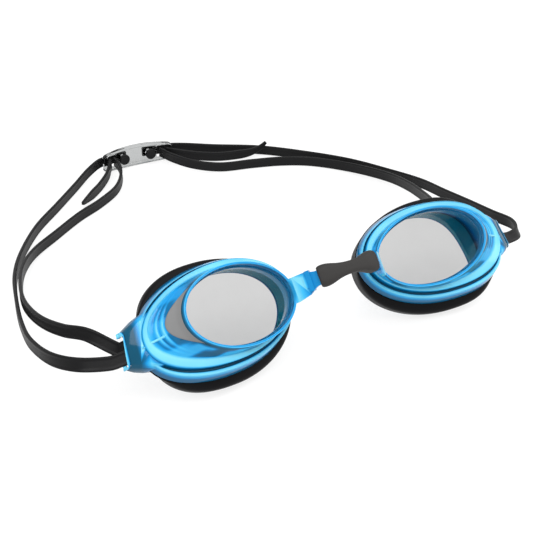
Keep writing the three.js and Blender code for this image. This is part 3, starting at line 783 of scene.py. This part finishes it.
def seal(name, side):
    """The soft seal: it flares from the flange, and rolls in to the opening for the eye."""
    front, rear = FLANGE + FLANGE_SIDE + TOUCH, CUSHION_REAR
    nose = np.maximum(0, -np.cos(ANGLES))[:, None] ** 2 * [SEAL_NOSE_IN, 0]
    lip, eye = outline(FLANGE_REAR, 0.3), outline(FACE_OPENING, 0.8)
    wide, back = outline(CUSHION), outline(CUSHION, -0.4) + nose
    stations = [
        # from the flange out to the widest point
        station(outline(FLANGE_REAR, -1.2), front),
        station(lip, front),
        station(mix(lip, wide, 0.75), front + 0.7),
        station(wide, np.minimum(front + 2, rear - 3)),
        # the rim that rests on the face
        station(mix(wide, back, 0.7), rear - 1.8),
        station(mix(back, eye, 0.12), rear - 0.3),
        station(mix(back, eye, 0.4), rear),
        station(mix(back, eye, 0.85), rear - 0.2),
        station(eye, rear - 0.9),
        # its inner face, outside the cup's skirt
        station(outline(FACE_OPENING, 0.9), rear - 2.2),
        station(mix(wide, eye, 0.6), front + 2.2),
        station(mix(lip, eye, 0.3), front + 0.8),
    ]
    loops = filleted(stations, SEAL_FILLET, SEAL_FILLET_STEPS)
    piece = loft(f"{name}_seal", loops, on_side(side), closed=True)
    return dressed(piece, SEAL, f"{name}_eyecup", "gasket", f"{name}_gasket")


# ------------------------------------------------------------------ straps

STRAP_WIDTH, STRAP_THICKNESS = 4.6, 1.4
BEAD = 0.12                         # height of the bead along each edge
END_ROUND, END_CAP = 0.25, 0.9      # how far an end is rounded, and what its cap shrinks to
OUTER_V, INNER_V = -2.9, 0.7        # where the strands leave the post
LOOP_FROM, LOOP_TO = math.radians(-58), math.radians(-197)
LOOP_STEPS = 60
LEAD_NEAR, LEAD_FAR, LEAD_STEPS = 0.2, 3.4, 8   # straight stretch at each end of the loop
STRAND_LEAD = (0, 1.6, 3.2)
STRAND_STEPS, TAIL_STEPS, BRIDGE_STEPS = 200, 90, 90
CURVE_STEPS = 24                    # points between two of a route's own points
UPRIGHT_AT = 0.3                    # share of a strand by which it stands upright

# How the tail narrows: from this share of its length, over this share, along this curve, down to
# this share of its width.
TAPER_FROM, TAPER_OVER, TAPER_CURVE, TAPER_TO = 0.72, 0.28, 1.3, 0.3

CLIP = dict(x=6.4, y=183.6, half=18, bow=3.4, height=10.4, thickness=2.4)
CLIP_MID_Z = CLIP["height"] / 2 + 0.1
BUTTON_OFFSET = 7                   # from the clip's middle
SLOT_OFFSET = 13.3
BAND_END = 2.6                      # the band goes on past its button by this much
BAND_BEHIND = CLIP["thickness"] / 2 + TOUCH + STRAP_THICKNESS / 2
PEG_SIDES = 48

# Routes on the table from the buckle to the clip: x, y, height.
ROUTES = {
    "right": {
        "outer": [
            (-91, 10, 17), (-96.5, 19, 15.6), (-98.5, 34, 13.6), (-96.5, 50, 11.4),
            (-91, 73, 8.4), (-85, 93, 5.8), (-76, 113, 3.6), (-61, 136, 2.5),
            (-46, 152, 2.5), (-31, 168, 2.6), (-20, 178, 4.2), (-12.4, 182.9, 5.2)],
        "inner": [
            (-84, 22, 19.2), (-88.5, 31, 17.4), (-91.5, 43, 15.2), (-91.5, 60, 12.4),
            (-87.5, 78, 9.4), (-80, 98, 6), (-70, 114, 3.4), (-56, 126.5, 2.5),
            (-41, 138, 2.5), (-28, 146, 2.5), (-16.5, 154.5, 3.2), (-10.6, 162.5, 4.2),
            (-6.8, 172, 5.1), (-5.6, 180.9, 5.3)],
        "tail": [
            (-8.3, 179.6, 5.3), (-10.8, 175.2, 4.9), (-14, 170.5, 3.6), (-20.5, 163.5, 2.5),
            (-28, 156, 2.5), (-35, 149.6, 2.5)],
    },
    "left": {
        "outer": [
            (89, 8.5, 16.2), (95, 17, 14.9), (96.5, 30, 13.1), (98.5, 47, 10.9),
            (100, 64, 8.8), (102, 82, 6.5), (100.5, 103, 3.9), (93.5, 127, 2.5),
            (80, 146.5, 2.5), (65, 163.5, 2.5), (45, 175, 3.4), (31.5, 181.2, 4.8),
            (25.4, 183.4, 5.2)],
        "inner": [
            (76, 28, 18.4), (79, 44, 15.4), (85.5, 60, 12.2), (91.5, 78, 9), (94.5, 97, 5.8),
            (90, 122, 2.7), (78, 138, 2.5), (66, 145.5, 2.5), (53, 150, 2.5), (37, 154, 2.8),
            (26.5, 161, 4), (20.8, 170, 5), (18.3, 180.6, 5.3)],
        "tail": [
            (21.1, 179.6, 5.3), (24.8, 175.8, 4.9), (33, 170.8, 3.6), (43, 166.6, 2.5),
            (52, 163.6, 2.6), (58.5, 161.4, 3.4), (63, 159.8, 5.4), (66, 158.8, 8)],
    },
}


def strap_section():
    """Flat band with rounded corners and a fine bead along each edge."""
    w, t = STRAP_WIDTH / 2, STRAP_THICKNESS / 2
    half = [(w, 0.25), (w - 0.08, 0.48), (w - 0.28, t - 0.04), (w - 0.5, t),
            (w - 0.75, t - 0.03), (w - 0.95, t - BEAD), (0.9, t - BEAD)]
    side = half + [(-x, y) for x, y in half[::-1]]
    return np.array(side + [(-x, -y) for x, y in side])


def band(name, points, across, widths=1.0):
    """A strap along points, its width laid along the directions in across."""
    points, across = np.asarray(points, float), np.asarray(across, float)
    along = np.gradient(points, axis=0)
    along /= np.linalg.norm(along, axis=1, keepdims=True)
    wide = across - along * np.sum(across * along, 1, keepdims=True)
    wide /= np.linalg.norm(wide, axis=1, keepdims=True)
    thick = np.cross(along, wide)
    section = strap_section()
    widths = np.broadcast_to(widths, len(points))
    loops = [p + section[:, :1] * a * w + section[:, 1:] * b
             for p, a, b, w in zip(points, wide, thick, widths)]
    ends = [points[i] + (loops[i] - points[i]) * END_CAP for i in (0, -1)]
    loops[0] = loops[0] + along[0] * END_ROUND
    loops[-1] = loops[-1] - along[-1] * END_ROUND
    return loft(name, [ends[0], *loops, ends[1]], TABLE, smooth=60)


def smooth_path(points, samples):
    """Evenly spaced points on a centripetal curve through the given ones."""
    p = np.asarray(points, float)
    p = np.concatenate([[2 * p[0] - p[1]], p, [2 * p[-1] - p[-2]]])
    dense = []
    for a, b, c, d in zip(p, p[1:], p[2:], p[3:]):
        t0 = 0.0
        t1 = t0 + np.linalg.norm(b - a) ** 0.5
        t2 = t1 + np.linalg.norm(c - b) ** 0.5
        t3 = t2 + np.linalg.norm(d - c) ** 0.5
        t = np.linspace(t1, t2, CURVE_STEPS, endpoint=False)[:, None]
        ab = a * (t1 - t) / (t1 - t0) + b * (t - t0) / (t1 - t0)
        bc = b * (t2 - t) / (t2 - t1) + c * (t - t1) / (t2 - t1)
        cd = c * (t3 - t) / (t3 - t2) + d * (t - t2) / (t3 - t2)
        low = ab * (t2 - t) / (t2 - t0) + bc * (t - t0) / (t2 - t0)
        high = bc * (t3 - t) / (t3 - t1) + cd * (t - t1) / (t3 - t1)
        dense.append(low * (t2 - t) / (t2 - t1) + high * (t - t1) / (t2 - t1))
    dense = np.concatenate(dense + [[p[-2]]])
    length = np.concatenate([[0], np.cumsum(np.linalg.norm(np.diff(dense, axis=0), axis=1))])
    at = np.linspace(0, length[-1], samples)
    return np.stack([np.interp(at, length, dense[:, i]) for i in range(3)], 1)


def loop_path():
    """The stretch of strap that turns round the buckle post, lower outer strand first."""
    radius = POST["radius"] + TOUCH + STRAP_THICKNESS / 2
    share = np.linspace(0, 1, LOOP_STEPS)
    angles = mix(LOOP_FROM, LOOP_TO, share)
    heights = mix(OUTER_V, INNER_V, ease(share))
    runs = [(LOOP_FROM, OUTER_V, lead) for lead in np.linspace(LEAD_FAR, LEAD_NEAR, LEAD_STEPS)]
    runs += [(a, v, 0) for a, v in zip(angles, heights)]
    runs += [(LOOP_TO, INNER_V, -lead) for lead in np.linspace(LEAD_NEAR, LEAD_FAR, LEAD_STEPS)]
    return np.array([(POST["u"] + radius * math.cos(a) - lead * math.sin(a), v,
                      -(POST["depth"] + radius * math.sin(a) + lead * math.cos(a)))
                     for a, v, lead in runs])


def to_table(points, side):
    """Eyecup points to the table's millimetres."""
    place = TABLE.inverted() @ on_side(side)
    return np.array([place @ Vector(p) for p in points])


def on_clip(offset, behind=0.0):
    """Point at an offset along the clip's curved middle line."""
    y = CLIP["y"] - CLIP["bow"] * (offset / CLIP["half"]) ** 2
    return np.array([CLIP["x"] + offset, y + behind, CLIP_MID_Z])


def turning(count, first):
    """Width directions that start along the buckle post and turn upright on the way."""
    share = np.clip(np.linspace(0, 1, count) / UPRIGHT_AT, 0, 1)
    return mix(np.asarray(first), np.array([0, 0, 1.0]), ease(share)[:, None])


def strand(name, side, which):
    """Points and width directions from the loop round the post to the clip."""
    path = loop_path()
    end, before = (path[-1], path[-2]) if which == "inner" else (path[0], path[1])
    way = (end - before) / np.linalg.norm(end - before)
    start = to_table([end + way * ahead for ahead in STRAND_LEAD], side)
    points = [*start, *ROUTES[name][which]]
    if which == "outer":
        points += [on_clip(side * offset, BAND_BEHIND)
                   for offset in (SLOT_OFFSET + 1, BUTTON_OFFSET, BUTTON_OFFSET - BAND_END)]
    path = smooth_path(points, STRAND_STEPS)
    up = to_table([(0, 1, 0), (0, 0, 0)], side)
    return path, turning(len(path), up[0] - up[1])


def strap_band(name, side):
    """One band: from the clip's button to the buckle, round the post and back to a slot."""
    outer, outer_up = strand(name, side, "outer")
    inner, inner_up = strand(name, side, "inner")
    loop = to_table(loop_path(), side)[1:-1]
    up = np.concatenate([outer_up[::-1], np.tile(outer_up[0], (len(loop), 1)), inner_up])
    piece = band(f"{name}_strap_band", np.concatenate([outer[::-1], loop, inner]), up)
    boolean(piece, end_button(side * BUTTON_OFFSET), "UNION")
    finished(piece, 50)
    dressed(piece, STRAP, None, "strap", f"{name}_outer_strand", f"{name}_inner_strand",
            f"{name}_strap_loop")
    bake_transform(piece)
    return piece


def peg(name, offset, profile):
    """A turned peg through the clip: profile is a list of (radius, distance behind)."""
    middle = on_clip(offset)
    turn = np.linspace(0, 2 * math.pi, PEG_SIDES, endpoint=False)
    loops = [np.stack([middle[0] + r * np.cos(turn), np.full(PEG_SIDES, middle[1] + y),
                       middle[2] + r * np.sin(turn)], 1) for r, y in profile]
    return loft(name, loops, TABLE, smooth=50)


def end_button(offset):
    """The dished button in front of the clip, on its stem from the band behind it."""
    face = -CLIP["thickness"] / 2 - TOUCH - 0.4
    return peg("button", offset, [
        (1.2, face - 1.3), (1.7, face - 1.35), (1.9, face - 1.5), (2.2, face - 1.5),
        (2.5, face - 1.3), (2.6, face - 1.0), (2.6, face - 0.4), (2.4, face - 0.05),
        (2.0, face), (1.3, face), (1.3, BAND_BEHIND)])


def strap_tail(name):
    """The free end of a band, narrowed to its tip."""
    path = smooth_path(ROUTES[name]["tail"], TAIL_STEPS)
    taper = np.clip((np.linspace(0, 1, len(path)) - TAPER_FROM) / TAPER_OVER, 0, 1)
    piece = band(f"{name}_tail_band", path, np.tile([0, 0, 1.0], (len(path), 1)),
                 mix(1, TAPER_TO, taper ** TAPER_CURVE))
    dressed(piece, STRAP, None, "strap", f"{name}_strap_tail")
    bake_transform(piece)
    return piece


# ------------------------------------------------------------------ clip and bridge

CLIP_STEPS = 81
CLIP_NARROWING = 0.22               # how much lower the clip is at its ends
CLIP_ROUND, CLIP_ROUNDING = 1.6, 0.18           # length of its rounded end, and how much
BUTTON_HOLE = 1.8                   # radius
SLOT_CORNERS = [(2.7, 2.6), (2.1, 3.2), (-2.1, 3.2), (-2.7, 2.6),
                (-2.7, -2.6), (-2.1, -3.2), (2.1, -3.2), (2.7, -2.6)]
THROUGH_HOLE, THROUGH_SLOT = 5, 6   # how far the cutting tools reach each way

# From the sockets in: x, height, thickness.
BRIDGE_ENDS = [(11.0, 5.6, 3.6), (10.9, 6.4, 4.4), (10.5, 7.1, 5.0), (9.6, 7.5, 5.2),
               (8.4, 7.4, 5.2), (6.6, 6.6, 4.8), (4.6, 5.4, 4), (2.2, 4.6, 3.4)]
BRIDGE_MIDDLE = (0, 4.4, 3.2)
BRIDGE_END_X, BRIDGE_END_Y, BRIDGE_MID_Y, BRIDGE_Z = 11.4, -2.6, -5.9, 0.95
BRIDGE_SIDES = 64
BRIDGE_SQUARE = 0.6                 # below 1, the section is squarer than an ellipse


def rear_clip():
    """The clear plate with a raised rim, two button holes and a slot near each end."""
    h, t = CLIP["height"] / 2, CLIP["thickness"] / 2
    edge = [(h, t - 0.5), (h - 0.15, t - 0.15), (h - 0.5, t), (h - 1.0, t),
            (h - 1.2, t - 0.15), (h - 1.35, t - 0.35)]
    half = edge + [(-z, y) for z, y in edge[::-1]]
    section = half + [(-z, -y) for z, y in half]
    loops = []
    for offset in np.linspace(-1, 1, CLIP_STEPS) * CLIP["half"]:
        x, y, z = on_clip(offset)
        rounded = max(0, (abs(offset) - CLIP["half"] + CLIP_ROUND) / CLIP_ROUND) ** 2
        shrink = ((1 - CLIP_NARROWING * (offset / CLIP["half"]) ** 2)
                  * (1 - CLIP_ROUNDING * rounded))
        loops.append([(x, y + back, z + up * shrink) for up, back in section])
    plate = loft("rear_clip_plate", loops, TABLE)
    for side in (-1, 1):
        hole = [(BUTTON_HOLE, -THROUGH_HOLE), (BUTTON_HOLE, THROUGH_HOLE)]
        boolean(plate, peg("hole", side * BUTTON_OFFSET, hole), "DIFFERENCE")
        x, y, z = on_clip(side * SLOT_OFFSET)
        slot = [[(x + across, y + back, z + up) for across, up in SLOT_CORNERS]
                for back in (-THROUGH_SLOT, THROUGH_SLOT)]
        boolean(plate, loft("slot", slot, TABLE), "DIFFERENCE")
    finished(plate, 30)
    return dressed(plate, CLEAR, ROOT, "clip", "rear_clip")


def bridge_section(x, height, thickness):
    """A rounded section, square to the bridge's bowed middle line."""
    y = mix(BRIDGE_MID_Y, BRIDGE_END_Y, (x / BRIDGE_END_X) ** 2)
    slope = math.atan(2 * (BRIDGE_END_Y - BRIDGE_MID_Y) * x / BRIDGE_END_X ** 2)
    turn = np.linspace(0, 2 * math.pi, BRIDGE_SIDES, endpoint=False)
    across = np.sign(np.cos(turn)) * np.abs(np.cos(turn)) ** BRIDGE_SQUARE * thickness / 2
    up = np.sign(np.sin(turn)) * np.abs(np.sin(turn)) ** BRIDGE_SQUARE * height / 2
    return np.stack([x - math.sin(slope) * across, y + math.cos(slope) * across,
                     BRIDGE_Z + up], 1)


def nose_bridge():
    """The soft bridge, thin in the middle, with a socket for a tab at each end."""
    rows = BRIDGE_ENDS + [BRIDGE_MIDDLE] + [(-x, h, t) for x, h, t in BRIDGE_ENDS[::-1]]
    rows = smooth_path(rows, BRIDGE_STEPS)
    piece = loft("soft_nose_bridge", [bridge_section(*row) for row in rows], GOGGLES)
    for side in (1, -1):
        boolean(piece, slab("socket", SOCKET, SOCKET_THICKNESS, side), "DIFFERENCE")
    finished(piece, 45)
    return dressed(piece, BRIDGE, ROOT, "bridge", "nose_bridge")


# ------------------------------------------------------------------ the goggles

for name, side in SIDES.items():
    eyecup_frame(name, side)
    front_lens(name, side)
    side_lens(name, side)
    seal(name, side)
    strap_band(name, side)
    strap_tail(name)
nose_bridge()
rear_clip()

# ------------------------------------------------------------------ stage

FLOOR_SIZE = 8                      # metres, as are the lights' distances and sizes
FLOOR_GLOW = 0.8
WORLD_STRENGTH = 0.72
SUN_STRENGTH = 1.5
SUN_SPREAD = math.radians(70)
SUN = dict(azimuth=20, elevation=70, distance=2)
# Azimuth, elevation, distance, size, power.
SOFTBOXES = {"front softbox": (-50, 50, 0.9, 0.45, 3), "side softbox": (75, 30, 1.0, 0.4, 2)}


def stage():
    """The pale floor and the white surroundings."""
    bpy.ops.mesh.primitive_plane_add(size=FLOOR_SIZE)
    floor = bpy.context.object
    floor.name = "floor"
    look, tree, shader = material("pale table", Roughness=0.7, Emission_Strength=FLOOR_GLOW,
                                  Emission_Color=(1, 1, 1, 1))
    noise = noise_in(tree, 30)
    tree.links.new(blended(tree, noise.outputs["Fac"], (0.20, 0.20, 0.20),
                           (0.21, 0.21, 0.21)), shader.inputs["Base Color"])
    floor.data.materials.append(look)
    world = bpy.data.worlds.new("studio")
    world.use_nodes = True
    background = world.node_tree.nodes["Background"]
    background.inputs["Color"].default_value = (1, 1, 1, 1)
    background.inputs["Strength"].default_value = WORLD_STRENGTH
    bpy.context.scene.world = world
    bpy.context.scene.view_settings.view_transform = "Standard"


def aimed(name, kind, azimuth, elevation, distance):
    """A light aimed at the goggles from angles in degrees."""
    data = bpy.data.lights.new(name, kind)
    lamp = bpy.data.objects.new(name, data)
    way = direction(math.radians(azimuth), math.radians(elevation))
    lamp.location = way * distance
    lamp.rotation_euler = way.to_track_quat("Z", "Y").to_euler()
    bpy.context.scene.collection.objects.link(lamp)
    return data


def soft_light(name, azimuth, elevation, distance, size, power):
    """A square softbox."""
    data = aimed(name, "AREA", azimuth, elevation, distance)
    data.shape = "SQUARE"
    data.size = size
    data.energy = power


stage()
sky = aimed("high soft light", "SUN", **SUN)
sky.energy = SUN_STRENGTH
sky.angle = SUN_SPREAD
for name, softbox in SOFTBOXES.items():
    soft_light(name, *softbox)
